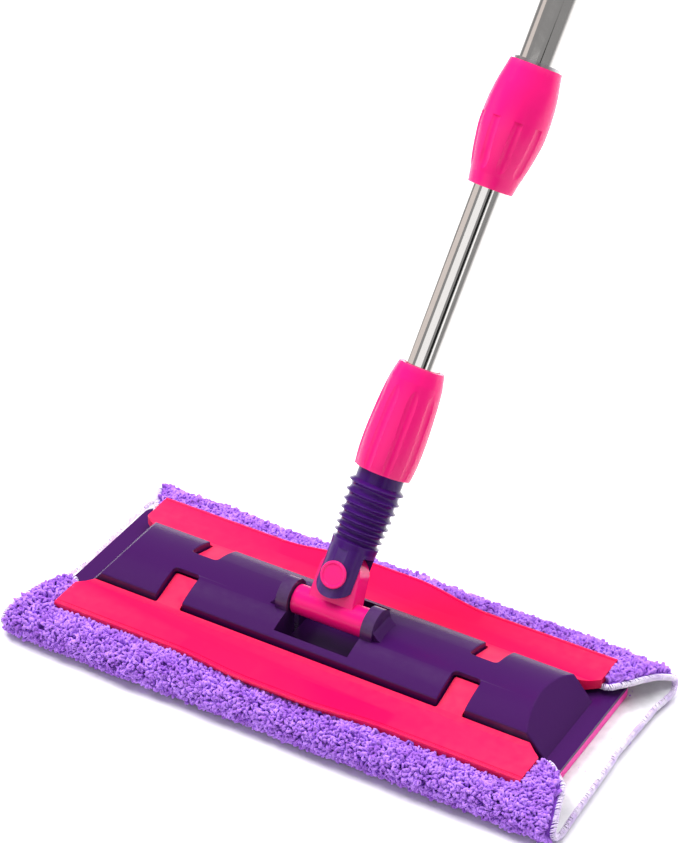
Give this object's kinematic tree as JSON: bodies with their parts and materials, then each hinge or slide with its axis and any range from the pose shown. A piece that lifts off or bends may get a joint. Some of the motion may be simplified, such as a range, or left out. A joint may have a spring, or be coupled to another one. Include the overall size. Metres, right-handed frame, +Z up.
{
  "type": "flat mop",
  "caption": "Flat mop: a looped cloth clipped round a rectangular head by two sprung flaps, with a two-way swivel joint and a telescopic steel handle.",
  "frame": {"origin": "centre of the cloth sole on the floor", "axes": "+Z up, X along the head, -Y towards the head's front; the handle leans towards +Y"},
  "size_m": [0.39, 0.6687, 0.9333],
  "materials": {
    "cloth": "looped microfibre pile",
    "sole_pink": "satin moulded",
    "housing_purple": "glossy moulded",
    "flap_pink": "glossy moulded",
    "joint_purple": "glossy moulded",
    "fitting_pink": "glossy moulded",
    "tube_steel": "polished stainless",
    "fastener_steel": "zinc plated",
    "spring_steel": "spring wire",
    "inner_plastic": "natural moulded",
    "grip_pink": "soft moulded"
  },
  "bodies": {
    "head": {"mop_cloth": "cloth", "sole_plate": "sole_pink", "housing": "housing_purple", "housing_screws": "fastener_steel", "swivel_axle": "fastener_steel", "axle_keepers": "joint_purple", "front_hinge_rod": "fastener_steel", "back_hinge_rod": "fastener_steel", "front_tab_springs": "spring_steel", "back_tab_springs": "spring_steel"},
    "front_flap_body": {"front_flap": "flap_pink"},
    "back_flap_body": {"back_flap": "flap_pink"},
    "swivel": {"swivel_barrel": "fitting_pink"},
    "lower_handle": {"yoke": "joint_purple", "tilt_pin": "fastener_steel", "front_pin_cap": "fitting_pink", "back_pin_cap": "fitting_pink", "lower_collet": "inner_plastic", "lower_tube": "tube_steel", "tube_top_bush": "inner_plastic"},
    "collar": {"lower_collar": "fitting_pink"},
    "upper_handle": {"upper_tube": "tube_steel", "lock_collet": "inner_plastic", "lock_bush": "joint_purple", "grip": "grip_pink", "end_cap": "fitting_pink"},
    "sleeve": {"lock_sleeve": "fitting_pink"}
  },
  "joints": [
    {"name": "swivel_pitch", "type": "hinge", "parent": "head", "child": "swivel", "pos_m": [0, 0, 0.0393], "axis": [1, 0, 0], "range_deg": [-35, 101]},
    {"name": "handle_tilt", "type": "hinge", "parent": "swivel", "child": "lower_handle", "pos_m": [0, 0.0128, 0.05901], "axis": [0, -0.8387, 0.5446], "range_deg": [-65, 74]},
    {"name": "collar_twist", "type": "hinge", "parent": "lower_handle", "child": "collar", "pos_m": [0.00819, 0.06708, 0.14259], "axis": [0.0819, 0.5428, 0.8359], "range_deg": [0, 180]},
    {"name": "handle_extend", "type": "slide", "parent": "lower_handle", "child": "upper_handle", "axis": [0.0819, 0.5428, 0.8359], "range_m": [-0.1, 0.36]},
    {"name": "sleeve_twist", "type": "hinge", "parent": "upper_handle", "child": "sleeve", "pos_m": [0.02458, 0.17564, 0.30976], "axis": [0.0819, 0.5428, 0.8359], "range_deg": [0, 180]},
    {"name": "front_flap_open", "type": "hinge", "parent": "head", "child": "front_flap_body", "pos_m": [0, -0.04, 0.0196], "axis": [-1, 0, 0], "range_deg": [0, 18], "stiffness_Nm_per_rad": 0.6, "springref_deg": -17.19, "deforming": ["front_tab_springs"]},
    {"name": "back_flap_open", "type": "hinge", "parent": "head", "child": "back_flap_body", "pos_m": [0, 0.04, 0.0196], "axis": [1, 0, 0], "range_deg": [0, 18], "stiffness_Nm_per_rad": 0.6, "springref_deg": -17.19, "deforming": ["back_tab_springs"]}
  ]
}
